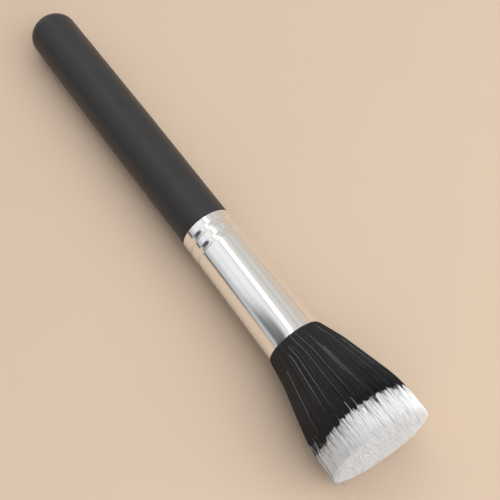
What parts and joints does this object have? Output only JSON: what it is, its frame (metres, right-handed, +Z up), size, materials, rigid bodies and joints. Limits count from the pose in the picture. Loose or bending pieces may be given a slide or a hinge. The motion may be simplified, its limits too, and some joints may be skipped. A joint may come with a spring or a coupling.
{
  "type": "round stippling brush",
  "caption": "Round, soft stippling brush: rounded black handle, crimped bright metal ferrule and a flared, flat-cut tuft of black fibres with longer white tips, lying flat.",
  "frame": {"origin": "centre of the bounding box at the floor that the brush lies on (Z = 0)", "axes": "+X along the brush from the handle's rounded end to the flat tip of the tuft, +Z up, +Y to the side; the brush's own axis lies in the XZ plane and rises 1.6 degrees towards the tuft"},
  "size_m": [0.1772, 0.031, 0.0278],
  "materials": {
    "black_lacquer": "turned wood under a satin black lacquer",
    "clear_adhesive": "cured clear glue",
    "polished_metal": "bright polished, with fine lengthwise drawing marks",
    "epoxy": "cured epoxy",
    "cotton_thread": "twisted cotton",
    "black_fibre": "fine, soft, slightly glossy fibres",
    "white_fibre": "fine, translucent white fibres"
  },
  "bodies": {
    "root": {"handle": "black_lacquer", "tenon_adhesive": "clear_adhesive", "ferrule": "polished_metal", "root_plug": "epoxy", "tie_thread": "cotton_thread", "black_fibres": "black_fibre", "white_fibres": "white_fibre"}
  },
  "joints": []
}
